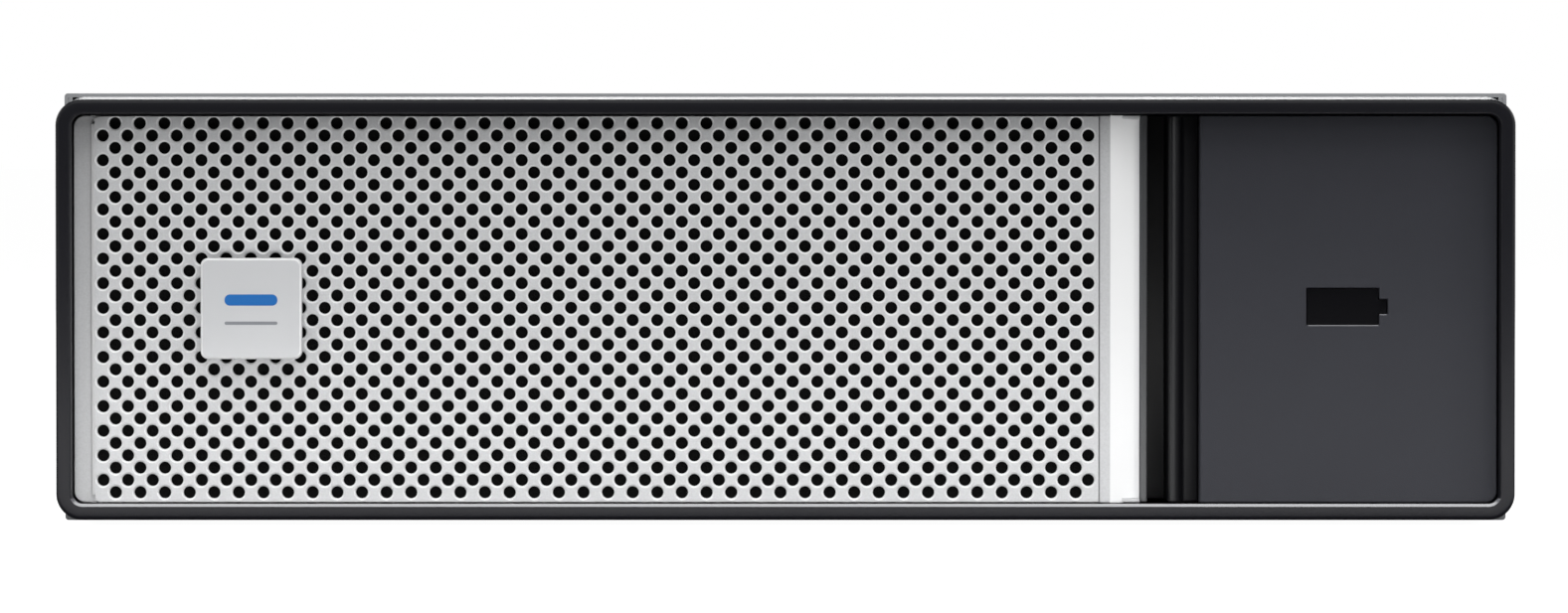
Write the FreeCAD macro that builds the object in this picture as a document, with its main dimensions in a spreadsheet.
"""Server rack battery: a 3U external battery module, modelled in millimetres.

+X is to the right seen from the front, the front looks along -Y and +Z is up.
The origin is at the middle of the underside.
"""
import FreeCAD, Part, Sketcher
import os
import re

V = FreeCAD.Vector
SIDES = ("left", "right")

# ---------------------------------------------------------------- driving dimensions

SIZES = {
    # metal case
    "CaseWide": 441, "CaseHigh": 130.7, "CaseRear": 240, "HalfDeep": 248.5, "Sheet": 1.2,
    "BendRound": 1, "Gap": 0.1, "FlangeDrop": 12,
    # screws through the case walls, and the threaded holes for rack ears
    "ScrewRadius": 1.9, "ScrewHead": 3.5, "HeadDeep": 1.1, "ScrewLong": 6,
    "EarHole": 2, "EarFrontY": -185, "EarRearY": -155, "EarLowZ": 30, "EarHighZ": 100,
    # plastic bezel
    "BezelDeep": 33, "RimDeep": 10, "RimLow": 1.7, "RimHigh": 128.9, "RimRound": 7.8,
    "RimWall": 4.5, "RimInnerRound": 3.5, "RimEdge": 1.2,
    "SkirtRise": 0.85, "SkirtRound": 3, "SkirtWall": 3.3, "SkirtInset": 0.2,
    "TabWide": 2.3, "TabLong": 16,
    # removable front cover and its perforated plate
    "CoverRecess": 8, "CoverGap": 0.4, "GrilleRise": 1.5, "GrilleThick": 2.2,
    "GrilleLeft": -210, "GrilleRight": 94.8, "GrilleRound": 3, "CoverBack": -226,
    "HoleMidX": -57.5, "HoleMidZ": 65.7, "HolePitch": 7.46, "HoleRadius": 1.85,
    "HoleRows": 31, "HoleColumns": 41, "BeamFront": -236, "BeamThick": 3,
    "StripRight": 107.4, "SlopeStart": 98.2, "SlopeDrop": 5.8, "TrimLeft": 107.5, "TrimRight": 109.8,
    "TrimFront": -236.8, "TrimBack": -222, "TrimRound": 0.6, "MouldWall": 2, "ThinWall": 1.1,
    "PegZ": 117, "PegRadius": 2.5, "PegBoss": 4,
    # square badge on its pivot
    "BadgeX": -161.55, "BadgeZ": 65.6, "BadgeWide": 30.6, "BadgeThick": 4.4, "BadgeRound": 2.3,
    "BadgeGap": 0.4, "BadgeEdge": 1, "ClipThick": 0.8, "PivotRadius": 4, "PivotBore": 4.05,
    # finger recess and side panel
    "RecessLeft": 104.6, "RecessWall": 116, "RecessFloor": -217, "PanelLeft": 125.4,
    "PanelFace": -241.5, "PanelThick": 2.2, "PanelBack": -227, "PanelEdge": 0.8,
    "WindowLeft": 157.8, "WindowRight": 179.8, "WindowLow": 60.5, "WindowHigh": 71.7,
    "NubRight": 182.4, "NubLow": 63.8, "NubHigh": 68.3,
    # battery trays, one beside the other
    "TrayLeftX": -215.2, "TrayPitch": 163, "TrayWide": 153.4, "TraySheet": 1,
    "TrayFront": -208, "TrayRear": 188, "TrayLow": 7, "TrayWallHigh": 38, "TrayLipHigh": 26,
    "PlugWallHigh": 62, "TrayBend": 1.5, "StripWide": 14, "StripInset": 8,
    # sealed battery blocks, six in a tray
    "BlockLong": 151, "BlockWide": 65, "BlockPitch": 65.3, "BlockHigh": 94, "LidHigh": 6,
    "BlockFirstY": -206.6, "BlockWall": 2, "TabInset": 10.5, "TabNear": 13.5, "TabFar": 51.5,
    "BladeWide": 6.3, "BladeThick": 0.8, "BladeTop": 108.5, "WellDeep": 3.5,
    "LinkZ": 105, "LinkRadius": 1.9, "LeadRadius": 2.2, "LeadBend": 12,
    # pull tab on each tray, and the plate and thumbscrews that hold both trays in
    "PullWide": 28, "PullFront": -210.6, "PullThick": 2.5, "PullLow": 14, "PullHigh": 66,
    "RetainerBack": -211, "RetainerLow": 9, "RetainerTop": 108, "EarTop": 122, "LipDeep": 7,
    "ThumbFront": -221.5, "ThumbRadius": 5.5, "ThumbLong": 9.1,
    # blind-mating plug behind each tray
    "PlugZ": 50, "PlugSpread": 10, "PinRadius": 4, "PinBore": 4.2,
    # wiring bay
    "DividerX": 102.8, "DividerHigh": 116, "BracketY": 212, "WireRadius": 2.6, "WireBend": 6,
    "BreakerX": 178, "BreakerWide": 36, "BreakerLow": 25, "BreakerHigh": 110, "BreakerFront": 170,
    "NoseLow": 45, "NoseHigh": 90, "NoseOut": 243, "HandleZ": 67.5, "HandleRise": 20,
    "OutletX": 130, "OutletWide": 36, "OutletHigh": 22, "OutletUpZ": 92, "OutletLowZ": 62,
    "OutletDeep": 30, "OutletOut": 242, "MouthWide": 31, "MouthHigh": 14, "MouthDeep": 16,
    "JackWide": 16, "JackHigh": 13.5, "JackZ": 28, "JackOneX": 121, "JackTwoX": 141, "JackDeep": 18,
    "StudX": 163, "StudZ": 22, "StudRadius": 2.5, "NutThick": 3.6,
    "VentCount": 32, "VentPitch": 9, "VentFirstX": -200, "VentWide": 4, "VentHigh": 38,
    "VentLowZ": 24, "VentUpZ": 70,
    "FuseX": 124, "FusePitch": 30, "FuseY": 130, "FuseZ": 20, "FuseRadius": 7,
    "BoardZ": 9, "BoardThick": 1.6,
}

doc = FreeCAD.newDocument("BatteryModule")
sheet = doc.addObject("Spreadsheet::Sheet", "Dims")
for row, (alias, number) in enumerate(SIZES.items(), start=1):
    sheet.set("A%d" % row, alias)
    sheet.set("B%d" % row, str(number))
    sheet.setAlias("B%d" % row, alias)
doc.recompute()

# places that several pieces share, as expressions on the sheet
WALL = "CaseWide / 2"
CASE_FRONT = "BezelDeep - HalfDeep"
RIM_BACK = "RimDeep - HalfDeep"
COVER_FACE = "CoverRecess - HalfDeep"
GRILLE_FACE = "CoverRecess - GrilleRise - HalfDeep"
GRILLE_BACK = "CoverRecess - GrilleRise - HalfDeep + GrilleThick"
OPEN_LEFT = "RimWall + CoverGap - CaseWide / 2"
OPEN_LOW = "RimLow + RimWall + CoverGap"
OPEN_HIGH = "RimHigh - RimWall - CoverGap"
BLOCK_LOW = "TrayLow + TraySheet"
LID_LOW = "TrayLow + TraySheet + BlockHigh - LidHigh"
LID_TOP = "TrayLow + TraySheet + BlockHigh"
PANEL_Y = "CaseRear - 1"
BEZEL_SCREWS = [("-206", "50"), ("-206", "85")]
COVER_SCREWS = [("-150", "CaseHigh - 7"), ("10", "CaseHigh - 7"), ("170", "CaseHigh - 7")]
REAR_SCREWS = [("231", "30"), ("231", "100")]
PEG_PLACES = ("-150", "-57", "35")
THUMB_PLACES = (("-57", "28"), ("-57", "84"), ("-196", "PegZ - 2.5"), ("82", "PegZ - 2.5"))
BLOCKS = range(6)

nodes = []


def bind(text):
    """Point every alias in an expression at the sheet."""
    return re.sub(r"\b[A-Z][A-Za-z]+", lambda word: "Dims." + word.group(0), text)


def value(text):
    """The number that an expression on the sheet gives now."""
    return float(sheet.evalExpression(bind(text)))


def node(piece, label):
    """Make a finished object a sub-part with the given name."""
    piece.Label = label
    nodes.append(piece)
    return piece


# ---------------------------------------------------------------- primitives and booleans

TURNS = {
    "X": FreeCAD.Rotation(V(0, 1, 0), 90), "-X": FreeCAD.Rotation(V(0, 1, 0), -90),
    "Y": FreeCAD.Rotation(V(1, 0, 0), -90), "-Y": FreeCAD.Rotation(V(1, 0, 0), 90),
    "Z": FreeCAD.Rotation(),
}


def place(piece, at, along="Z"):
    """Turn a primitive's own Z along an axis and bind its base point."""
    piece.Placement = FreeCAD.Placement(V(), TURNS[along])
    for axis, text in zip("xyz", at):
        piece.setExpression("Placement.Base." + axis, bind(text))
    return piece


def box(name, x, y, z):
    """A box between a low and a high expression along each axis."""
    piece = doc.addObject("Part::Box", name)
    for side, (low, high) in zip(("Length", "Width", "Height"), (x, y, z)):
        piece.setExpression(side, bind("(%s) - (%s)" % (high, low)))
    return place(piece, (x[0], y[0], z[0]))


def rod(name, at, along, radius, length):
    """A cylinder from a point along an axis."""
    piece = doc.addObject("Part::Cylinder", name)
    piece.setExpression("Radius", bind(radius))
    piece.setExpression("Height", bind(length))
    return place(piece, at, along)


def cone(name, at, along, radius, tip, length):
    """A cut cone from a point along an axis."""
    piece = doc.addObject("Part::Cone", name)
    piece.setExpression("Radius1", bind(radius))
    piece.setExpression("Radius2", bind(tip))
    piece.setExpression("Height", bind(length))
    return place(piece, at, along)


def fuse(name, pieces):
    whole = doc.addObject("Part::MultiFuse", name)
    whole.Shapes = pieces
    whole.Refine = True
    return whole


def group(name, pieces):
    """Separate solids that share one node."""
    whole = doc.addObject("Part::Compound", name)
    whole.Links = pieces
    return whole


def cut(name, base, tools):
    whole = doc.addObject("Part::Cut", name)
    whole.Base = base
    whole.Tool = tools[0] if len(tools) == 1 else group(name + "Tools", tools)
    return whole


def rounded(name, base, radius, chosen):
    """Round the edges that a test on each edge picks."""
    doc.recompute()
    whole = doc.addObject("Part::Fillet", name)
    whole.Base = base
    size = value(radius)
    picked = [i for i, edge in enumerate(base.Shape.Edges, start=1) if chosen(edge)]
    whole.Edges = [(i, size, size) for i in picked]
    return whole


def runs_along(edge, axis):
    """True for a straight edge parallel to an axis."""
    if edge.Curve.TypeId != "Part::GeomLine":
        return False
    return abs(edge.Curve.Direction.dot(axis)) > 0.999


# ---------------------------------------------------------------- sketched features

def body(label):
    piece = doc.addObject("PartDesign::Body", label)
    piece.Label = label
    return piece


def sketch(owner, role, offset):
    """A sketch on one of the body's own origin planes, moved along its normal."""
    plane = [p for p in owner.Origin.OriginFeatures if p.Role == role][0]
    drawing = owner.newObject("Sketcher::SketchObject", owner.Name + "Sketch")
    drawing.AttachmentSupport = [(plane, "")]
    drawing.MapMode = "FlatFace"
    drawing.setExpression("AttachmentOffset.Base.z", bind(offset))
    return drawing


def pin_point(drawing, line, end, x, y):
    """Hold one end of a sketch line at a place given by two expressions."""
    for kind, text in (("DistanceX", x), ("DistanceY", y)):
        index = drawing.addConstraint(Sketcher.Constraint(kind, -1, 1, line, end, value(text)))
        drawing.setExpression("Constraints[%d]" % index, bind(text))


def outline(drawing, points):
    """A closed outline of straight lines through points given as expressions."""
    spots = [V(value(x), value(y), 0) for x, y in points]
    count = len(spots)
    first = drawing.GeometryCount
    for i in range(count):
        drawing.addGeometry(Part.LineSegment(spots[i], spots[(i + 1) % count]), False)
    for i in range(count):
        after = first + (i + 1) % count
        drawing.addConstraint(Sketcher.Constraint("Coincident", first + i, 2, after, 1))
    for i, (x, y) in enumerate(points):
        pin_point(drawing, first + i, 1, x, y)


def rectangle(drawing, x, y):
    outline(drawing, [(x[0], y[0]), (x[1], y[0]), (x[1], y[1]), (x[0], y[1])])


def rounded_rectangle(drawing, x, y, radius):
    """A rectangle with round corners, its sides and radius bound to the sheet."""
    left, right, low, high = value(x[0]), value(x[1]), value(y[0]), value(y[1])
    r = value(radius)
    corners = [(left + r, low + r, 180), (right - r, low + r, 270),
               (right - r, high - r, 0), (left + r, high - r, 90)]
    first = drawing.GeometryCount
    for middle_x, middle_y, start in corners:
        circle = Part.Circle(V(middle_x, middle_y, 0), V(0, 0, 1), r)
        start_angle = FreeCAD.Units.Quantity("%d deg" % start).getValueAs("rad").Value
        quarter = FreeCAD.Units.Quantity("90 deg").getValueAs("rad").Value
        drawing.addGeometry(Part.ArcOfCircle(circle, start_angle, start_angle + quarter), False)
    for i in range(4):
        start = drawing.Geometry[first + i].EndPoint
        end = drawing.Geometry[first + (i + 1) % 4].StartPoint
        drawing.addGeometry(Part.LineSegment(start, end), False)
    for i in range(4):
        line, arc, after = first + 4 + i, first + i, first + (i + 1) % 4
        drawing.addConstraint(Sketcher.Constraint("Tangent", arc, 2, line, 1))
        drawing.addConstraint(Sketcher.Constraint("Tangent", line, 2, after, 1))
        way = "Horizontal" if i % 2 == 0 else "Vertical"
        drawing.addConstraint(Sketcher.Constraint(way, line))
    for i in range(1, 4):
        drawing.addConstraint(Sketcher.Constraint("Equal", first, first + i))
    index = drawing.addConstraint(Sketcher.Constraint("Radius", first, r))
    drawing.setExpression("Constraints[%d]" % index, bind(radius))
    sides = (("DistanceY", first + 4, y[0]), ("DistanceX", first + 5, x[1]),
             ("DistanceY", first + 6, y[1]), ("DistanceX", first + 7, x[0]))
    for kind, line, text in sides:
        index = drawing.addConstraint(Sketcher.Constraint(kind, -1, 1, line, 1, value(text)))
        drawing.setExpression("Constraints[%d]" % index, bind(text))


def circle(drawing, x, y, radius):
    ring = Part.Circle(V(value(x), value(y), 0), V(0, 0, 1), value(radius))
    index = drawing.addGeometry(ring, False)
    for kind, text in (("DistanceX", x), ("DistanceY", y)):
        held = drawing.addConstraint(Sketcher.Constraint(kind, -1, 1, index, 3, value(text)))
        drawing.setExpression("Constraints[%d]" % held, bind(text))
    held = drawing.addConstraint(Sketcher.Constraint("Radius", index, value(radius)))
    drawing.setExpression("Constraints[%d]" % held, bind(radius))


def pad(owner, drawing, length, backwards=False):
    feature = owner.newObject("PartDesign::Pad", owner.Name + "Pad")
    feature.Profile = drawing
    feature.setExpression("Length", bind(length))
    feature.Reversed = backwards
    doc.recompute()
    return feature


def pocket(owner, drawing, length, backwards=False):
    """Cut a sketch into the body, and make sure that it took material away."""
    before = owner.Shape.Volume
    feature = owner.newObject("PartDesign::Pocket", owner.Name + "Pocket")
    feature.Profile = drawing
    feature.setExpression("Length", bind(length))
    feature.Reversed = backwards
    doc.recompute()
    if owner.Shape.Volume >= before:
        raise ValueError(owner.Label + ": a pocket cuts nothing")
    return feature


def round_edges(owner, radius, chosen):
    """A PartDesign fillet on the edges of the body's tip that a test picks."""
    tip = owner.Tip
    picked = ["Edge%d" % i for i, edge in enumerate(tip.Shape.Edges, start=1) if chosen(edge)]
    feature = owner.newObject("PartDesign::Fillet", owner.Name + "Fillet")
    feature.Base = (tip, picked)
    feature.setExpression("Radius", bind(radius))
    doc.recompute()
    return feature


def slab(label, role, offset, points, length, backwards=False):
    """A body that is one padded outline."""
    owner = body(label)
    drawing = sketch(owner, role, offset)
    outline(drawing, points)
    pad(owner, drawing, length, backwards)
    return owner


# ---------------------------------------------------------------- round leads

def lead(points, radius, bend):
    """A round lead: straight runs joined by tangent arcs of one bend radius."""
    spots = [V(*(value(text) for text in point)) for point in points]
    turn = value(bend)
    edges = []
    start = spots[0]
    for before, corner, after in zip(spots, spots[1:], spots[2:]):
        way_in = (corner - before).normalize()
        way_out = (after - corner).normalize()
        middle = (way_out - way_in).normalize()
        arc_start = corner - way_in * turn
        arc_end = corner + way_out * turn
        centre = corner + middle * (turn * 2 ** 0.5)
        arc_middle = centre - middle * turn
        edges.append(Part.LineSegment(start, arc_start).toShape())
        edges.append(Part.Arc(arc_start, arc_middle, arc_end).toShape())
        start = arc_end
    edges.append(Part.LineSegment(start, spots[-1]).toShape())
    path = Part.Wire(edges)
    direction = (spots[1] - spots[0]).normalize()
    section = Part.Wire([Part.makeCircle(value(radius), spots[0], direction)])
    solid = path.makePipeShell([section], True, False)
    wanted = Part.Face(section).Area * path.Length
    if abs(solid.Volume - wanted) > 0.01 * wanted:
        raise ValueError("a lead's volume is off its section times its length")
    return solid


def lead_group(label, solids):
    piece = doc.addObject("Part::Feature", label + "Solids")
    piece.Shape = Part.Compound(solids)
    piece.Placement = FreeCAD.Placement()
    return node(piece, label)


# ---------------------------------------------------------------- metal case

def through_walls(name, spots, radius):
    """Rods right across the case, to drill both side walls at once."""
    return [rod("%sDrill%d" % (name, i), ("0 - %s - 1" % WALL, y, z), "X", radius, "CaseWide + 2")
            for i, (y, z) in enumerate(spots)]


def chassis_tray():
    """Floor and side walls in one bent sheet, countersunk for the case screws."""
    raw = body("chassis_blank")
    drawing = sketch(raw, "XZ_Plane", "0 - CaseRear")
    high = "CaseHigh - Sheet"
    inner = "%s - Sheet" % WALL
    outline(drawing, [("0 - " + WALL, "0"), (WALL, "0"), (WALL, high), (inner, high),
                      (inner, "Sheet"), ("Sheet - " + WALL, "Sheet"),
                      ("Sheet - " + WALL, high), ("0 - " + WALL, high)])
    pad(raw, drawing, "CaseRear - (%s)" % CASE_FRONT)
    round_edges(raw, "BendRound", lambda edge: runs_along(edge, V(0, 1, 0))
                and abs(edge.CenterOfMass.z) < 0.01)
    spots = BEZEL_SCREWS + COVER_SCREWS + REAR_SCREWS
    tools = through_walls("chassis", spots, "ScrewRadius + 0.2")
    for i, (y, z) in enumerate(spots):
        tools.append(cone("chassisSinkLeft%d" % i, ("0 - " + WALL, y, z), "X",
                          "ScrewHead + 0.1", "ScrewRadius + 0.2", "HeadDeep"))
        tools.append(cone("chassisSinkRight%d" % i, (WALL, y, z), "-X",
                          "ScrewHead + 0.1", "ScrewRadius + 0.2", "HeadDeep"))
    ears = [(y, z) for y in ("EarFrontY", "EarRearY") for z in ("EarLowZ", "EarHighZ")]
    tools += through_walls("chassisEar", ears, "EarHole")
    node(cut("chassisCut", raw, tools), "chassis_tray")


def top_cover():
    """Flat lid with a flange turned down inside each side wall."""
    low = "CaseHigh - Sheet"
    outer = "%s - Sheet - Gap" % WALL
    inner = "%s - 2 * Sheet - Gap" % WALL
    drop = "CaseHigh - Sheet - FlangeDrop"
    raw = slab("cover_blank", "XZ_Plane", "0 - CaseRear",
               [("0 - " + WALL, low), ("0 - (%s)" % outer, low), ("0 - (%s)" % outer, drop),
                ("0 - (%s)" % inner, drop), ("0 - (%s)" % inner, low), (inner, low),
                (inner, drop), (outer, drop), (outer, low), (WALL, low),
                (WALL, "CaseHigh"), ("0 - " + WALL, "CaseHigh")],
               "CaseRear - (%s)" % CASE_FRONT)
    round_edges(raw, "BendRound", lambda edge: runs_along(edge, V(0, 1, 0))
                and abs(edge.CenterOfMass.z - value("CaseHigh")) < 0.01)
    notch = box("lidNotch", ("0 - " + WALL, WALL), (PANEL_Y + " - Sheet - Gap", "CaseRear + 1"),
                (drop + " - 1", low))
    tools = through_walls("lid", COVER_SCREWS, "ScrewRadius + 0.05") + [notch]
    node(cut("lidCut", raw, tools), "top_cover")


def rear_panel():
    """Back plate with side flanges, cut for the breaker, outlets, jacks, stud and air."""
    panel = body("rear_blank")
    plate = sketch(panel, "XZ_Plane", "0 - (%s)" % PANEL_Y)
    side = "%s - Sheet - Gap" % WALL
    rectangle(plate, ("0 - (%s)" % side, side), ("Sheet + Gap", "CaseHigh - Sheet - Gap"))
    pad(panel, plate, "Sheet")
    flanges = sketch(panel, "XZ_Plane", "Sheet - (%s)" % PANEL_Y)
    for low, high in (("0 - (%s)" % side, "Sheet - (%s)" % side), ("%s - Sheet" % side, side)):
        rectangle(flanges, (low, high), ("12", "112"))
    pad(panel, flanges, "FlangeDrop")
    windows = sketch(panel, "XZ_Plane", "0 - (%s)" % PANEL_Y)
    rectangle(windows, ("BreakerX - Gap", "BreakerX + BreakerWide + Gap"),
              ("NoseLow - Gap", "NoseHigh + Gap"))
    for middle in ("OutletUpZ", "OutletLowZ"):
        rectangle(windows, ("OutletX - OutletWide / 2 - Gap", "OutletX + OutletWide / 2 + Gap"),
                  ("%s - OutletHigh / 2 - Gap" % middle, "%s + OutletHigh / 2 + Gap" % middle))
    for middle in ("JackOneX", "JackTwoX"):
        rectangle(windows, ("%s - JackWide / 2 - Gap" % middle, "%s + JackWide / 2 + Gap" % middle),
                  ("JackZ - JackHigh / 2 - Gap", "JackZ + JackHigh / 2 + Gap"))
    circle(windows, "StudX", "StudZ", "StudRadius + Gap")
    pocket(panel, windows, "Sheet", True)
    slot = sketch(panel, "XZ_Plane", "0 - (%s)" % PANEL_Y)
    for low in ("VentLowZ", "VentUpZ"):
        rounded_rectangle(slot, ("VentFirstX - VentWide / 2", "VentFirstX + VentWide / 2"),
                          (low, low + " + VentHigh"), "VentWide / 2 - Gap")
    vents = pocket(panel, slot, "Sheet", True)
    row = panel.newObject("PartDesign::LinearPattern", "vent_row")
    row.Originals = [vents]
    row.Direction = (slot, ["H_Axis"])
    row.setExpression("Length", bind("(VentCount - 1) * VentPitch"))
    row.setExpression("Occurrences", bind("VentCount"))
    panel.Tip = row
    doc.recompute()
    drills = through_walls("rear", REAR_SCREWS, "ScrewRadius + 0.05")
    node(cut("rearCut", panel, drills), "rear_panel")


def case_screws():
    """Countersunk screws, flush with both side walls."""
    screws = []
    for i, (y, z) in enumerate(BEZEL_SCREWS + COVER_SCREWS + REAR_SCREWS):
        for tag, x, along in (("L", "0 - " + WALL, "X"), ("R", WALL, "-X")):
            name = "screw%s%d" % (tag, i)
            head = cone(name + "Head", (x, y, z), along, "ScrewHead", "ScrewRadius", "HeadDeep")
            shank = rod(name + "Shank", (x, y, z), along, "ScrewRadius", "ScrewLong")
            screws.append(fuse(name, [head, shank]))
    node(group("screwSet", screws), "case_screws")


def inner_sheets():
    """Divider, slide strips, centre guide and catch rail inside the case."""
    wall = "DividerX + Sheet"
    node(slab("divider", "XZ_Plane", "-186",
              [("DividerX", "Sheet"), ("DividerX + 9", "Sheet"), ("DividerX + 9", "2 * Sheet"),
               (wall, "2 * Sheet"), (wall, "DividerHigh"), ("DividerX", "DividerHigh")],
              "391"), "bay_divider")
    strips = []
    for i in range(2):
        start = "TrayLeftX + %d * TrayPitch" % i
        for tag, inset in (("Near", "StripInset"), ("Far", "TrayWide - StripInset - StripWide")):
            low = "%s + %s" % (start, inset)
            strips.append(box("strip%s%d" % (tag, i), (low, low + " + StripWide"),
                              ("-213", "190"), ("Sheet", "TrayLow")))
    node(group("stripSet", strips), "slide_strips")
    post = slab("guide_post", "XY_Plane", "Sheet",
                [("-60.6", "-210.6"), ("-53.4", "-210.6"), ("-53.4", "-170"), ("-54.6", "-170"),
                 ("-54.6", "-209.4"), ("-59.4", "-209.4"), ("-59.4", "-170"), ("-60.6", "-170")],
                "103")
    rail = box("guideRail", ("-58", "-56"), ("-209.4", "186"), ("Sheet", "24"))
    drills = [rod("guideDrill%d" % i, (x, "-212", z), "Y", "ScrewRadius + 0.05", "4")
              for i, (x, z) in enumerate(THUMB_PLACES[:2])]
    node(cut("guideCut", fuse("guideWhole", [post, rail]), drills), "centre_guide")
    high = "CaseHigh - Sheet - Gap"
    low = "%s - Sheet" % high
    catch = slab("catch_blank", "YZ_Plane", "-214",
                 [("-210.6", "111"), ("-209.4", "111"), ("-209.4", low), ("-195", low),
                  ("-195", high), ("-210.6", high)], "314")
    drills = [rod("catchPeg%d" % i, (x, "-212", "PegZ"), "Y", "PegRadius + 0.3", "5")
              for i, x in enumerate(PEG_PLACES)]
    drills += [rod("catchThumb%d" % i, (x, "-212", z), "Y", "ScrewRadius + 0.05", "5")
               for i, (x, z) in enumerate(THUMB_PLACES[2:])]
    node(cut("catchCut", catch, drills), "cover_catch_rail")
    collars = []
    for i, x in enumerate(PEG_PLACES):
        name = "collar%d" % i
        ring = rod(name + "Outer", (x, "-216", "PegZ"), "Y", "PegRadius + 2.5", "5.4")
        bore = rod(name + "Bore", (x, "-217", "PegZ"), "Y", "PegRadius + 0.1", "8")
        collars.append(cut(name, ring, [bore]))
    node(group("collarSet", collars), "peg_sockets")


# ---------------------------------------------------------------- bezel and side panel

def bezel_rim():
    """Round-cornered front rim."""
    rim = body("rim")
    outer = sketch(rim, "XZ_Plane", "0 - (%s)" % RIM_BACK)
    rounded_rectangle(outer, ("0 - " + WALL, WALL), ("RimLow", "RimHigh"), "RimRound")
    pad(rim, outer, "RimDeep")
    inner = sketch(rim, "XZ_Plane", "HalfDeep")
    rounded_rectangle(inner, ("RimWall - " + WALL, "%s - RimWall" % WALL),
                      ("RimLow + RimWall", "RimHigh - RimWall"), "RimInnerRound")
    pocket(rim, inner, "RimDeep")
    front = value("0 - HalfDeep")
    round_edges(rim, "RimEdge", lambda edge: abs(edge.BoundBox.YMin - front) < 0.01
                and abs(edge.BoundBox.YMax - front) < 0.01)
    node(rim, "bezel_rim")


def bezel_body():
    """Skirt behind the rim, flaring a little to meet the case, with four screw tabs."""
    skirt = body("skirt")
    front = sketch(skirt, "XZ_Plane", "0 - (%s)" % RIM_BACK)
    rounded_rectangle(front, ("SkirtInset - " + WALL, "%s - SkirtInset" % WALL),
                      ("RimLow + SkirtInset", "RimHigh - SkirtInset"), "RimRound - SkirtInset")
    back = sketch(skirt, "XZ_Plane", "0 - (%s)" % CASE_FRONT)
    rounded_rectangle(back, ("SkirtInset / 2 - " + WALL, "%s - SkirtInset / 2" % WALL),
                      ("RimLow - SkirtRise", "RimHigh + SkirtRise"), "SkirtRound")
    loft = skirt.newObject("PartDesign::AdditiveLoft", "skirtLoft")
    loft.Profile = front
    loft.Sections = [back]
    loft.Ruled = True
    doc.recompute()
    hollow = sketch(skirt, "XZ_Plane", "0 - (%s)" % RIM_BACK)
    rounded_rectangle(hollow, ("SkirtWall - " + WALL, "%s - SkirtWall" % WALL),
                      ("RimLow + SkirtWall", "RimHigh - SkirtWall"), "RimInnerRound")
    pocket(skirt, hollow, "BezelDeep")
    tabs = []
    for i, (y, z) in enumerate(BEZEL_SCREWS):
        for tag, low in (("L", "Sheet + Gap - " + WALL), ("R", "%s - Sheet - Gap - TabWide" % WALL)):
            tabs.append(box("tab%s%d" % (tag, i), (low, low + " + TabWide"),
                            ("%s - 6" % CASE_FRONT, "%s + TabLong" % CASE_FRONT),
                            (z + " - 8", z + " + 8")))
    whole = fuse("skirtWhole", [skirt] + tabs)
    drills = through_walls("skirt", BEZEL_SCREWS, "ScrewRadius + 0.05")
    node(cut("skirtCut", whole, drills), "bezel_body")


WINDOW = [("WindowLeft", "WindowLow"), ("WindowRight", "WindowLow"), ("WindowRight", "NubLow"),
          ("NubRight", "NubLow"), ("NubRight", "NubHigh"), ("WindowRight", "NubHigh"),
          ("WindowRight", "WindowHigh"), ("WindowLeft", "WindowHigh")]


def side_panel():
    """Charcoal panel to the right of the recess, with ribs behind and a shaped window."""
    panel = body("panel")
    right = "%s - RimWall - CoverGap" % WALL
    face = sketch(panel, "XZ_Plane", "0 - PanelFace - PanelThick")
    rectangle(face, ("PanelLeft", right), (OPEN_LOW, OPEN_HIGH))
    pad(panel, face, "PanelThick")
    ribs = sketch(panel, "XZ_Plane", "0 - PanelFace - PanelThick")
    rectangle(ribs, ("PanelLeft", right), (OPEN_LOW, OPEN_HIGH))
    rectangle(ribs, ("PanelLeft + MouldWall", right + " - MouldWall"),
              (OPEN_LOW + " + MouldWall", OPEN_HIGH + " - MouldWall"))
    pad(panel, ribs, "PanelBack - PanelFace - PanelThick", True)
    window = sketch(panel, "XZ_Plane", "0 - PanelFace")
    outline(window, WINDOW)
    pocket(panel, window, "PanelThick")
    round_edges(panel, "PanelEdge", lambda edge: runs_along(edge, V(0, 0, 1))
                and abs(edge.CenterOfMass.x - value("PanelLeft")) < 0.01
                and abs(edge.CenterOfMass.y - value("PanelFace")) < 0.01)
    round_edges(panel, "RimInnerRound", lambda edge: runs_along(edge, V(0, 1, 0))
                and abs(edge.CenterOfMass.x - value(right)) < 0.01)
    node(panel, "side_panel")


def window_lens():
    """Smoked lens that fills the window from behind, on a flange."""
    lens = body("lens")
    flange = sketch(lens, "XZ_Plane", "0 - PanelFace - PanelThick - 1.3")
    rectangle(flange, ("WindowLeft - 3", "NubRight + 3"), ("WindowLow - 3", "WindowHigh + 3"))
    pad(lens, flange, "1.2")
    boss = sketch(lens, "XZ_Plane", "0 - PanelFace - PanelThick - 0.1")
    inset = [("%s %s 0.15" % (x, "+" if x == "WindowLeft" else "-"),
              "%s %s 0.15" % (z, "+" if z.endswith("Low") else "-")) for x, z in WINDOW]
    outline(boss, inset)
    pad(lens, boss, "PanelThick - 0.7")
    node(lens, "window_lens")
    board = box("statusBoard", ("151", "189"), ("-236", "-234.4"), ("52", "80"))
    lamps = [box("lamp%d" % i, ("160 + %d * 4.5" % i, "163 + %d * 4.5" % i), ("-237.6", "-236"),
                 ("64.6", "67.6")) for i in range(5)]
    node(group("statusSet", [board] + lamps), "status_board")


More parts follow.
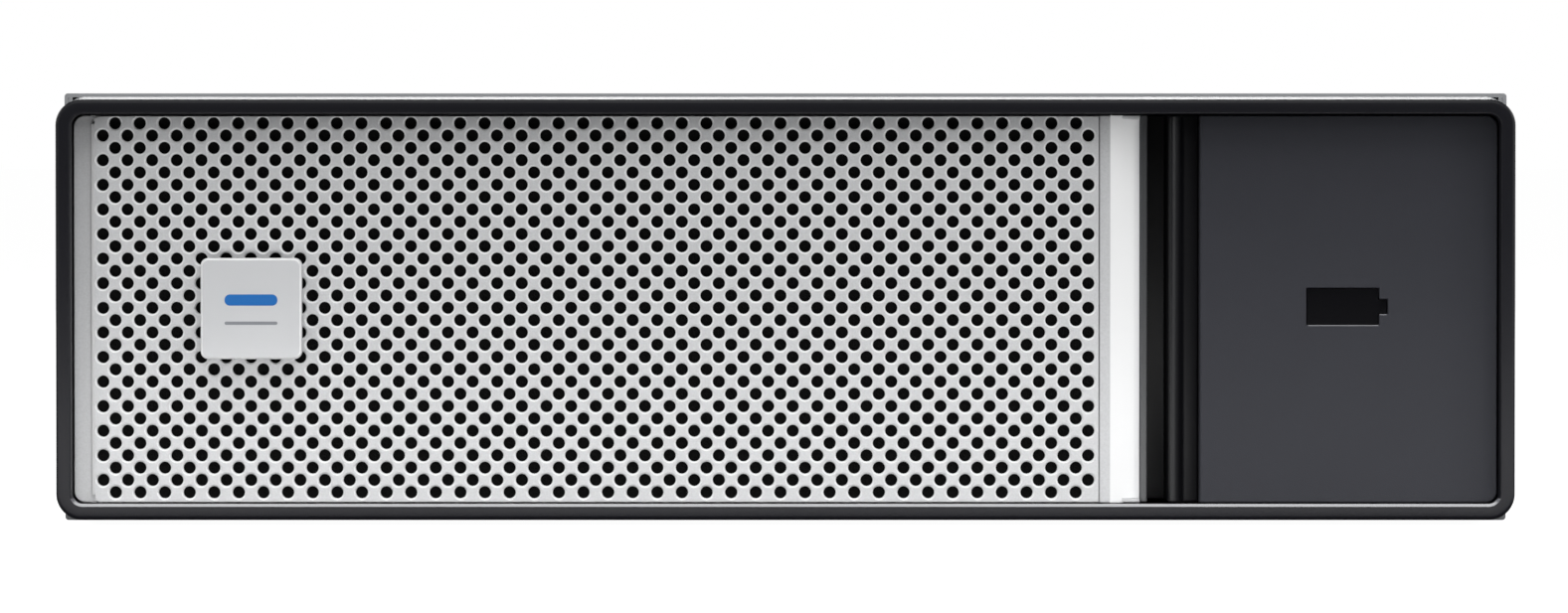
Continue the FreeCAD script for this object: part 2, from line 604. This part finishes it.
def finger_recess():
    """Trough beside the cover, whose right wall ends in a rib that slopes to the panel."""
    crest = "PanelFace + 0.1"
    node(slab("recess", "XY_Plane", OPEN_LOW,
              [("RecessLeft", "RecessFloor"), ("RecessWall", "RecessFloor"),
               ("RecessWall", crest + " + 0.8"), ("RecessWall + 0.8", crest),
               ("RecessWall + 2.2", crest + " + 0.7"), ("RecessWall + 4.6", crest + " + 4.6"),
               ("PanelLeft - Gap", crest + " + 6"), ("PanelLeft - Gap", crest + " + 7.8"),
               ("RecessWall + 3.6", crest + " + 6.4"), ("RecessWall + 1.6", crest + " + 3"),
               ("RecessWall + 1.6", "RecessFloor + 1.4"),
               ("RecessLeft", "RecessFloor + 1.4")],
              "(%s) - (%s)" % (OPEN_HIGH, OPEN_LOW)), "finger_recess")


# ---------------------------------------------------------------- removable front cover

def cover_frame():
    """Moulded frame behind the plate: edge walls, left strip, sloped right strip and beam."""
    z = (OPEN_LOW, OPEN_HIGH)
    left, back = OPEN_LEFT, "CoverBack"
    seat = GRILLE_BACK + " + Gap"
    pieces = [
        box("frameStrip", (left, "GrilleLeft - 0.2"), (COVER_FACE, COVER_FACE + " + MouldWall"), z),
        box("frameLedge", (left, "GrilleLeft + 1.6"), (seat, seat + " + MouldWall"), z),
        box("frameLeft", (left, left + " + MouldWall"), (seat, back), z),
        box("frameTop", (left, "StripRight"), (seat, back), (OPEN_HIGH + " - ThinWall", OPEN_HIGH)),
        box("frameLow", (left, "StripRight"), (seat, back), (OPEN_LOW, OPEN_LOW + " + ThinWall")),
        box("frameBeam", (left, "StripRight - 1"), ("BeamFront", "BeamFront + BeamThick"),
            ("PegZ - 5", OPEN_HIGH)),
    ]
    right = slab("frame_right", "XY_Plane", OPEN_LOW,
                 [("GrilleRight - 1.2", seat), ("GrilleRight + 0.2", seat),
                  ("GrilleRight + 0.2", GRILLE_FACE + " + 0.5"), ("SlopeStart", GRILLE_FACE),
                  ("StripRight", GRILLE_FACE + " + SlopeDrop"), ("StripRight", back),
                  ("StripRight - MouldWall", back), ("StripRight - MouldWall", "TrimFront + 2"),
                  ("SlopeStart", seat + " + MouldWall"), ("GrilleRight - 1.2", seat + " + MouldWall")],
                 "(%s) - (%s)" % (OPEN_HIGH, OPEN_LOW))
    whole = fuse("frameWhole", pieces + [right])
    node(rounded("frameRound", whole, "RimInnerRound", lambda edge: runs_along(edge, V(0, 1, 0))
                 and abs(edge.CenterOfMass.x - value(left)) < 0.01
                 and edge.CenterOfMass.y < value("CoverBack")), "cover_frame")
    trim = box("trimBar", ("TrimLeft", "TrimRight"), ("TrimFront", "TrimBack"), z)
    node(rounded("trimRound", trim, "TrimRound", lambda edge: runs_along(edge, V(0, 0, 1))
                 and abs(edge.CenterOfMass.y - value("TrimFront")) < 0.01), "cover_trim")
    pegs = []
    for i, x in enumerate(PEG_PLACES):
        base = rod("pegBase%d" % i, (x, "BeamFront + BeamThick", "PegZ"), "Y", "PegBoss", "14.8")
        tip = rod("pegTip%d" % i, (x, "-219", "PegZ"), "Y", "PegRadius", "11.5")
        pegs.append(fuse("peg%d" % i, [base, tip]))
    node(group("pegSet", pegs), "cover_pegs")


def grille_plate():
    """Perforated plate: rows of holes on a diagonal lattice, alternate rows shifted by half."""
    pitch, radius = value("HolePitch"), value("HoleRadius")
    mid_x, mid_z = value("HoleMidX"), value("HoleMidZ")
    y = value(GRILLE_FACE)
    thick, bend = value("GrilleThick"), value("GrilleRound")
    low, high = value(OPEN_LOW + " + 0.3"), value(OPEN_HIGH + " - 0.3")
    left, right = value("GrilleLeft"), value("GrilleRight")
    corner = bend * (1 - 0.5 ** 0.5)
    edge = Part.Wire([
        Part.LineSegment(V(right, y, low), V(right, y, high)).toShape(),
        Part.LineSegment(V(right, y, high), V(left + bend, y, high)).toShape(),
        Part.Arc(V(left + bend, y, high), V(left + corner, y, high - corner),
                 V(left, y, high - bend)).toShape(),
        Part.LineSegment(V(left, y, high - bend), V(left, y, low + bend)).toShape(),
        Part.Arc(V(left, y, low + bend), V(left + corner, y, low + corner),
                 V(left + bend, y, low)).toShape(),
        Part.LineSegment(V(left + bend, y, low), V(right, y, low)).toShape(),
    ])
    rows, columns = int(value("HoleRows")), int(value("HoleColumns"))
    pivot = V(value("BadgeX"), y, value("BadgeZ"))
    clear = 2 * value("PivotBore") + radius
    wires = [edge]
    for row in range(rows):
        count = columns if row % 2 else columns - 1
        for column in range(count):
            x = mid_x + (column - (count - 1) / 2) * pitch
            z = mid_z + (row - (rows - 1) / 2) * pitch / 2
            spot = V(x, y, z)
            if spot.distanceToPoint(pivot) > clear:
                wires.append(Part.Wire([Part.makeCircle(radius, spot, V(0, 1, 0))]))
    wires.append(Part.Wire([Part.makeCircle(value("PivotBore"), pivot, V(0, 1, 0))]))
    plate = doc.addObject("Part::Feature", "grillePlate")
    plate.Shape = Part.Face(wires, "Part::FaceMakerBullseye").extrude(V(0, thick, 0))
    plate.Placement = FreeCAD.Placement()
    node(plate, "grille_plate")


def badge():
    """Plain square badge that can be turned on a pivot through the plate."""
    tile = body("tile")
    half = "BadgeWide / 2"
    face = sketch(tile, "XZ_Plane", "0 - (%s) + BadgeGap" % GRILLE_FACE)
    rounded_rectangle(face, ("BadgeX - " + half, "BadgeX + " + half),
                      ("BadgeZ - " + half, "BadgeZ + " + half), "BadgeRound")
    pad(tile, face, "BadgeThick")
    front = value("%s - BadgeGap - BadgeThick" % GRILLE_FACE)
    round_edges(tile, "BadgeEdge", lambda edge: abs(edge.BoundBox.YMin - front) < 0.01
                and abs(edge.BoundBox.YMax - front) < 0.01)
    node(tile, "badge")
    back = "%s + 3" % GRILLE_BACK
    node(rod("pivotRod", ("BadgeX", "%s - BadgeGap" % GRILLE_FACE, "BadgeZ"), "Y", "PivotRadius",
             "(%s) - (%s) + BadgeGap" % (back, GRILLE_FACE)), "badge_pivot")
    ring = rod("clipOuter", ("BadgeX", "%s + 0.2" % GRILLE_BACK, "BadgeZ"), "Y", "PivotRadius + 3",
               "ClipThick")
    bore = rod("clipBore", ("BadgeX", GRILLE_BACK, "BadgeZ"), "Y", "PivotRadius", "2")
    node(cut("clipCut", ring, [bore]), "badge_clip")


def battery_retainer():
    """Steel plate across the tray fronts, held by captive thumbscrews."""
    plate = body("retainer")
    face = sketch(plate, "XZ_Plane", "0 - RetainerBack")
    outline(face, [("-214.4", "RetainerLow"), ("100.4", "RetainerLow"), ("100.4", "RetainerTop"),
                   ("94", "RetainerTop"), ("94", "EarTop"), ("70", "EarTop"),
                   ("70", "RetainerTop"), ("-184", "RetainerTop"), ("-184", "EarTop"),
                   ("-208", "EarTop"), ("-208", "RetainerTop"), ("-214.4", "RetainerTop")])
    pad(plate, face, "Sheet")
    lip = sketch(plate, "XZ_Plane", "Sheet - RetainerBack")
    rectangle(lip, ("-205", "92"), ("RetainerLow", "RetainerLow + Sheet"))
    pad(plate, lip, "LipDeep")
    windows = sketch(plate, "XZ_Plane", "Sheet - RetainerBack")
    for middle in ("TrayLeftX + TrayWide / 2", "TrayLeftX + TrayPitch + TrayWide / 2"):
        rounded_rectangle(windows, (middle + " - 26", middle + " + 26"), ("30", "78"), "6")
        for low, high in (("-62", "-36"), ("36", "62")):
            rounded_rectangle(windows, ("%s + %s" % (middle, low), "%s + %s" % (middle, high)),
                              ("34", "74"), "6")
    for x, z in THUMB_PLACES:
        circle(windows, x, z, "ScrewRadius + 0.4")
    pocket(plate, windows, "Sheet")
    node(plate, "battery_retainer")
    screws = []
    for i, (x, z) in enumerate(THUMB_PLACES):
        head = rod("thumbHead%d" % i, (x, "ThumbFront", z), "Y", "ThumbRadius", "ThumbLong")
        shank = rod("thumbShank%d" % i, (x, "ThumbFront + ThumbLong", z), "Y", "ScrewRadius", "10")
        screws.append(fuse("thumb%d" % i, [head, shank]))
    node(group("thumbSet", screws), "retainer_thumbscrews")


# ---------------------------------------------------------------- battery trays

def tray(side, start):
    """Open tray of sheet metal with a low lip in front and a plug wall behind."""
    x = (start, start + " + TrayWide")
    middle = start + " + TrayWide / 2"
    y = ("TrayFront", "TrayRear")
    floor = ("TrayLow", BLOCK_LOW)
    name = "tray" + side.title()
    pieces = [
        box(name + "Floor", x, y, floor),
        box(name + "Near", (x[0], x[0] + " + TraySheet"), y, ("TrayLow", "TrayWallHigh")),
        box(name + "Far", (x[1] + " - TraySheet", x[1]), y, ("TrayLow", "TrayWallHigh")),
        box(name + "Lip", x, (y[0], y[0] + " + TraySheet"), ("TrayLow", "TrayLipHigh")),
        box(name + "Rear", x, (y[1] + " - TraySheet", y[1]), ("TrayLow", "TrayWallHigh")),
        box(name + "PlugWall", (middle + " - 30", middle + " + 30"),
            (y[1] + " - TraySheet", y[1]), ("TrayLow", "PlugWallHigh")),
    ]
    node(rounded(name + "Round", fuse(name + "Whole", pieces), "TrayBend",
                 lambda edge: runs_along(edge, V(0, 1, 0))
                 and abs(edge.CenterOfMass.z - value("TrayLow")) < 0.01), "battery_tray_" + side)
    tab = box(name + "Pull", (middle + " - PullWide / 2", middle + " + PullWide / 2"),
              ("PullFront", "PullFront + PullThick"), ("PullLow", "PullHigh"))
    hole = box(name + "PullHole", (middle + " - PullWide / 3", middle + " + PullWide / 3"),
               ("PullFront - 1", "PullFront + PullThick + 1"), ("PullHigh - 20", "PullHigh - 8"))
    node(cut(name + "PullTab", tab, [hole]), "pull_tab_" + side)


def block_cases(side, start):
    """Case, lid, cell stack and blades of each sealed block in a row of six."""
    cases, lids, stacks, blades = [], [], [], []
    low_x = start + " + TraySheet + 0.2"
    for i in BLOCKS:
        name = "%s%d" % (side, i)
        near = "BlockFirstY + %d * BlockPitch" % i
        x = (low_x, low_x + " + BlockLong")
        y = (near, near + " + BlockWide")
        inner_x = (x[0] + " + BlockWall", x[1] + " - BlockWall")
        inner_y = (y[0] + " + BlockWall", y[1] + " - BlockWall")
        shell = rounded(name + "Shell", box(name + "Box", x, y, (BLOCK_LOW, LID_LOW)), "1.5",
                        lambda edge: runs_along(edge, V(0, 0, 1)))
        inside = (BLOCK_LOW + " + BlockWall", LID_LOW)
        hollow = box(name + "Hollow", inner_x, inner_y, (inside[0], LID_LOW + " + 1"))
        cases.append(cut(name + "Case", shell, [hollow]))
        stacks.append(box(name + "Stack", (inner_x[0] + " + 0.3", inner_x[1] + " - 0.3"),
                          (inner_y[0] + " + 0.3", inner_y[1] + " - 0.3"),
                          (inside[0], inside[1] + " - 6")))
        lid = rounded(name + "LidRound", box(name + "LidBox", x, y, (LID_LOW, LID_TOP)), "1.5",
                      lambda edge: runs_along(edge, V(0, 0, 1)))
        wells = []
        for tag, inset in (("Near", "TabNear"), ("Far", "TabFar")):
            tab_x, tab_y = start + " + TabInset", near + " + " + inset
            wells.append(box(name + tag + "Well", (tab_x + " - 5", tab_x + " + 5"),
                             (tab_y + " - 6", tab_y + " + 6"),
                             (LID_TOP + " - WellDeep", LID_TOP + " + 1")))
            blades.append(box(name + tag + "Blade",
                              (tab_x + " - BladeThick / 2", tab_x + " + BladeThick / 2"),
                              (tab_y + " - BladeWide / 2", tab_y + " + BladeWide / 2"),
                              (LID_TOP + " - WellDeep", "BladeTop")))
        lids.append(cut(name + "Lid", lid, wells))
    node(group(side + "Cases", cases), "battery_cases_" + side)
    node(group(side + "Lids", lids), "battery_lids_" + side)
    node(group(side + "Stacks", stacks), "cell_stacks_" + side)
    node(group(side + "Blades", blades), "terminals_" + side)


def series_links(side, start):
    """Insulated links from each block to the next, a sleeve over each blade."""
    links = []
    x = start + " + TabInset"
    for i in BLOCKS[:-1]:
        name = "%sLink%d" % (side, i)
        ends = ("BlockFirstY + %d * BlockPitch + TabFar" % i,
                "BlockFirstY + %d * BlockPitch + TabNear" % (i + 1))
        sleeves = [box(name + "Sleeve%d" % j, (x + " - 2.4", x + " + 2.4"),
                       (y + " - 4.4", y + " + 4.4"), (LID_TOP + " + 0.2", "BladeTop + 0.6"))
                   for j, y in enumerate(ends)]
        wire = rod(name + "Wire", (x, ends[0], "LinkZ"), "Y", "LinkRadius",
                   "BlockPitch + TabNear - TabFar")
        slots = [box(name + "Slot%d" % j, (x + " - BladeThick / 2 - 0.1", x + " + BladeThick / 2 + 0.1"),
                     (y + " - BladeWide / 2 - 0.1", y + " + BladeWide / 2 + 0.1"),
                     (LID_TOP, "BladeTop + 0.1")) for j, y in enumerate(ends)]
        links.append(cut(name, fuse(name + "Whole", sleeves + [wire]), slots))
    node(group(side + "Links", links), "series_links_" + side)


def tray_wiring(side, start):
    """The two leads from the row's ends to the plug, and the plug itself."""
    x = start + " + TabInset"
    first = "BlockFirstY + TabNear"
    last = "BlockFirstY + 5 * BlockPitch + TabFar"
    middle = start + " + TrayWide / 2"
    far, near = middle + " + PlugSpread", middle + " - PlugSpread"
    plug_y, top = "TrayRear + 7", "PlugZ + 8"
    long_way = [(x + " + BladeThick", first, "LinkZ"), (far, first, "LinkZ"),
                (far, plug_y, "LinkZ"), (far, plug_y, top)]
    short_way = [(x, last + " + BladeWide / 2", "LinkZ"), (x, plug_y, "LinkZ"),
                 (near, plug_y, "LinkZ"), (near, plug_y, top)]
    lead_group("tray_leads_" + side, [lead(way, "LeadRadius", "LeadBend")
                                      for way in (long_way, short_way)])
    name = "plug" + side.title()
    housing = box(name + "Box", (middle + " - 18", middle + " + 18"),
                  ("TrayRear", "TrayRear + 13.2"), ("PlugZ - 8", top))
    bores = [rod(name + "Bore%d" % i, (spot, "TrayRear + 3", "PlugZ"), "Y", "PinBore", "12")
             for i, spot in enumerate((near, far))]
    node(cut(name + "Whole", housing, bores), "tray_plug_" + side)


def battery_trays():
    for i, side in enumerate(SIDES):
        start = "TrayLeftX + %d * TrayPitch" % i
        tray(side, start)
        block_cases(side, start)
        series_links(side, start)
        tray_wiring(side, start)


# ---------------------------------------------------------------- wiring bay and rear fittings

def tray_sockets():
    """Bracket behind the trays with a blind-mating socket for each plug."""
    angle = slab("bracket_blank", "YZ_Plane", "-190",
                 [("BracketY", "Sheet"), ("BracketY + 14", "Sheet"), ("BracketY + 14", "2 * Sheet"),
                  ("BracketY + Sheet", "2 * Sheet"), ("BracketY + Sheet", "75"), ("BracketY", "75")],
                 "270")
    windows, housings, pins = [], [], []
    for i in range(2):
        middle = "TrayLeftX + %d * TrayPitch + TrayWide / 2" % i
        windows.append(box("socketWindow%d" % i, (middle + " - 20.2", middle + " + 20.2"),
                           ("BracketY - 1", "BracketY + 4"), ("PlugZ - 10.2", "PlugZ + 10.2")))
        shell = box("socketShell%d" % i, (middle + " - 20", middle + " + 20"),
                    ("TrayRear + 13.5", "BracketY + 10"), ("PlugZ - 10", "PlugZ + 10"))
        flange = box("socketFlange%d" % i, (middle + " - 26", middle + " + 26"),
                     ("BracketY - 2.1", "BracketY - Gap"), ("PlugZ - 13", "PlugZ + 13"))
        bores = []
        for j, way in enumerate("-+"):
            spot = "%s %s PlugSpread" % (middle, way)
            bores.append(rod("socketBore%d%d" % (i, j), (spot, "TrayRear", "PlugZ"), "Y",
                             "PinRadius", "40"))
            pins.append(rod("socketPin%d%d" % (i, j), (spot, "TrayRear + 4", "PlugZ"), "Y",
                            "PinRadius", "32"))
        housings.append(cut("socket%d" % i, fuse("socketWhole%d" % i, [shell, flange]), bores))
    node(cut("bracketCut", angle, windows), "socket_bracket")
    node(group("socketSet", housings), "tray_sockets")
    node(group("pinSet", pins), "socket_pins")


def breaker():
    """Two-pole breaker behind the rear panel with its tied toggle."""
    x = ("BreakerX", "BreakerX + BreakerWide")
    block = box("breakerBlock", x, ("BreakerFront", "CaseRear - 3"), ("BreakerLow", "BreakerHigh"))
    nose = box("breakerNose", x, ("BreakerFront", "NoseOut"), ("NoseLow", "NoseHigh"))
    slot = box("breakerSlot", ("BreakerX + 4", "BreakerX + BreakerWide - 4"),
               ("NoseOut - 16", "NoseOut + 1"), ("HandleZ - 11", "HandleZ + 11"))
    node(cut("breakerCut", fuse("breakerWhole", [block, nose]), [slot]), "breaker_body")
    hub = rod("handleHub", ("BreakerX + 4.3", "NoseOut - 7", "HandleZ"), "X", "6", "BreakerWide - 8.6")
    corners = []
    for along, across in ((0, -2.6), (12, -2), (12, 2), (0, 2.6)):
        corners.append(("NoseOut - 7 + %s * cos(HandleRise) - %s * sin(HandleRise)" % (along, across),
                        "HandleZ + %s * sin(HandleRise) + %s * cos(HandleRise)" % (along, across)))
    lever = slab("handle_lever", "YZ_Plane", "BreakerX + 6", corners, "BreakerWide - 12")
    node(fuse("handleWhole", [hub, lever]), "breaker_handle")


def outlets():
    """Two two-pole outlets, two data jacks and the earth stud."""
    housings, pins, jacks = [], [], []
    for i, z in enumerate(("OutletUpZ", "OutletLowZ")):
        name = "outlet%d" % i
        x = ("OutletX - OutletWide / 2", "OutletX + OutletWide / 2")
        block = box(name + "Block", x, ("OutletOut - OutletDeep", "OutletOut"),
                    (z + " - OutletHigh / 2", z + " + OutletHigh / 2"))
        mouth = box(name + "Mouth", ("OutletX - MouthWide / 2", "OutletX + MouthWide / 2"),
                    ("OutletOut - MouthDeep", "OutletOut + 1"),
                    (z + " - MouthHigh / 2", z + " + MouthHigh / 2"))
        bores = []
        for j, way in enumerate("-+"):
            spot = ("OutletX %s 9" % way, "OutletOut - OutletDeep - 4", z)
            bores.append(rod("%sBore%d" % (name, j), spot, "Y", "2.5", "30"))
            pins.append(rod("%sPin%d" % (name, j), spot, "Y", "2.5", "OutletDeep + 1"))
        housings.append(cut(name, block, [mouth] + bores))
    node(group("outletSet", housings), "dc_outlet_housings")
    node(group("outletPins", pins), "dc_outlet_pins")
    for i, x in enumerate(("JackOneX", "JackTwoX")):
        name = "jack%d" % i
        shell = box(name + "Shell", (x + " - JackWide / 2", x + " + JackWide / 2"),
                    ("CaseRear + 0.5 - JackDeep", "CaseRear + 0.5"),
                    ("JackZ - JackHigh / 2", "JackZ + JackHigh / 2"))
        mouth = box(name + "Mouth", (x + " - 5.9", x + " + 5.9"), ("CaseRear - 12", "CaseRear + 1"),
                    ("JackZ - 3.6", "JackZ + 4.6"))
        key = box(name + "Key", (x + " - 3", x + " + 3"), ("CaseRear - 12", "CaseRear + 1"),
                  ("JackZ - 5.4", "JackZ - 3.5"))
        jacks.append(cut(name, shell, [mouth, key]))
    node(group("jackSet", jacks), "data_jacks")
    head = rod("studHead", ("StudX", "%s - Sheet - 3" % PANEL_Y, "StudZ"), "Y", "5", "2.9")
    shank = rod("studShank", ("StudX", "%s - Sheet - 3" % PANEL_Y, "StudZ"), "Y", "StudRadius",
                "HalfDeep - (%s) + Sheet + 3" % PANEL_Y)
    node(fuse("studWhole", [head, shank]), "earth_stud")
    nut = doc.addObject("Part::Prism", "nutBlock")
    nut.Polygon = 6
    nut.setExpression("Circumradius", bind("StudRadius + 2.1"))
    nut.setExpression("Height", bind("NutThick"))
    place(nut, ("StudX", PANEL_Y + " + Gap", "StudZ"), "Y")
    bore = rod("nutBore", ("StudX", PANEL_Y, "StudZ"), "Y", "StudRadius", "6")
    node(cut("nutCut", nut, [bore]), "earth_nut")


def fuses():
    """Two barrel fuses in clips on a base block."""
    base = box("fuseBase", ("FuseX - 11", "FuseX + FusePitch + 11"), ("FuseY - 34", "FuseY + 34"),
               ("Sheet", "9"))
    node(base, "fuse_block")
    clips, barrels = [], []
    for i in range(2):
        x = "FuseX + %d * FusePitch" % i
        for j, y in enumerate(("FuseY - 26", "FuseY + 18")):
            jaw = box("jaw%d%d" % (i, j), (x + " - 9", x + " + 9"), (y, y + " + 8"), ("9", "FuseZ + 3"))
            seat = rod("seat%d%d" % (i, j), (x, y + " - 1", "FuseZ"), "Y", "FuseRadius", "10")
            mouth = box("jawMouth%d%d" % (i, j), (x + " - 5", x + " + 5"), (y + " - 1", y + " + 9"),
                        ("FuseZ", "FuseZ + 5"))
            clips.append(cut("clip%d%d" % (i, j), jaw, [seat, mouth]))
        barrels.append(rod("barrel%d" % i, (x, "FuseY - 27", "FuseZ"), "Y", "FuseRadius", "54"))
    node(group("clipSet", clips), "fuse_clips")
    node(group("barrelSet", barrels), "fuses")


def detection_board():
    """Circuit board on four pillars, with its larger components."""
    x, y = ("114", "210"), ("-70", "50")
    top = "BoardZ + BoardThick"
    board = box("boardPlate", x, y, ("BoardZ", top))
    node(board, "detection_board")
    pillars = [rod("pillar%d" % i, (px, py, "Sheet"), "Z", "3",
                   "BoardZ - Sheet")
               for i, (px, py) in enumerate((a, b) for a in ("119", "205") for b in ("-65", "45"))]
    node(group("pillarSet", pillars), "board_standoffs")
    parts = [
        box("relay", ("122", "150"), ("-50", "-20"), (top, "27")),
        box("header", ("180", "204"), ("28", "40"), (top, "22")),
        box("chip", ("160", "176"), ("-10", "6"), (top, "13")),
        box("choke", ("182", "202"), ("-56", "-36"), (top, "24")),
    ]
    parts += [rod("can%d" % i, ("%d" % (126 + 16 * i), "20", top), "Z", "6", "18")
              for i in range(3)]
    node(group("componentSet", parts), "board_components")


def power_leads():
    """Insulated leads: tray sockets to fuses and breaker, and on to the two outlets."""
    top = "PlugZ + 10"
    clip_top = "FuseZ + FuseRadius"
    negative, positive = "OutletX - 9", "OutletX + 9"
    outlet_back = "OutletOut - OutletDeep - 4"
    red, black = [], []
    for i in range(2):
        middle = "TrayLeftX + %d * TrayPitch + TrayWide / 2" % i
        fuse_x = "FuseX + %d * FusePitch" % i
        pole_x = "BreakerX + 9 + %d * 18" % i
        plus, minus = middle + " + PlugSpread", middle + " - PlugSpread"
        red_y, red_z = "BracketY + 5.5", "112 - %d * 6" % i
        black_y, black_z = "BracketY - 5.5", "123.6 - %d * 6" % i
        red.append([(plus, red_y, top), (plus, red_y, red_z), (fuse_x, red_y, red_z),
                    (fuse_x, "FuseY + 22", red_z), (fuse_x, "FuseY + 22", clip_top)])
        black.append([(minus, black_y, top), (minus, black_y, black_z),
                      (pole_x, black_y, black_z), (pole_x, black_y, "BreakerHigh")])
    second = "FuseX + FusePitch"
    red.append([("FuseX", "FuseY - 22", clip_top), ("FuseX", "FuseY - 22", "OutletLowZ"),
                (positive, "FuseY - 22", "OutletLowZ"), (positive, outlet_back, "OutletLowZ")])
    red.append([(second, "FuseY - 22", clip_top), (second, "FuseY - 22", "78"),
                (positive, "FuseY - 22", "78"), (positive, "190", "78"),
                (positive, "190", "OutletUpZ"), (positive, outlet_back, "OutletUpZ")])
    black.append([("BreakerX + 9", "BreakerFront", "35"), ("BreakerX + 9", "BreakerFront - 9", "35"),
                  (negative, "BreakerFront - 9", "35"), (negative, "BreakerFront - 9", "OutletLowZ"),
                  (negative, outlet_back, "OutletLowZ")])
    black.append([("BreakerX + 27", "BreakerFront", "OutletUpZ"),
                  ("BreakerX + 27", "BreakerFront - 9", "OutletUpZ"),
                  (negative, "BreakerFront - 9", "OutletUpZ"), (negative, outlet_back, "OutletUpZ")])
    lead_group("power_leads_red", [lead(way, "WireRadius", "WireBend") for way in red])
    lead_group("power_leads_black", [lead(way, "WireRadius", "WireBend") for way in black])


# ---------------------------------------------------------------- build, check and write

def check_document():
    """Stop if any object failed to recompute or any sub-part has no valid solid."""
    doc.recompute()
    for item in doc.Objects:
        if "Invalid" in item.State or "Error" in item.State:
            raise ValueError("%s did not recompute" % item.Label)
    for piece in nodes:
        shape = piece.Shape
        if shape.isNull() or not shape.isValid() or not shape.Solids:
            raise ValueError("%s has no valid solid" % piece.Label)


def write_parts():
    os.makedirs("parts", exist_ok=True)
    for piece in nodes:
        piece.Shape.exportStep("parts/%s.step" % piece.Label)


for build in (chassis_tray, top_cover, rear_panel, case_screws, inner_sheets, bezel_rim,
              bezel_body, side_panel, window_lens, finger_recess, cover_frame, grille_plate,
              badge, battery_retainer, battery_trays, tray_sockets, breaker, outlets, fuses,
              detection_board, power_leads):
    build()
check_document()
write_parts()
print(len(nodes), "sub-parts written")
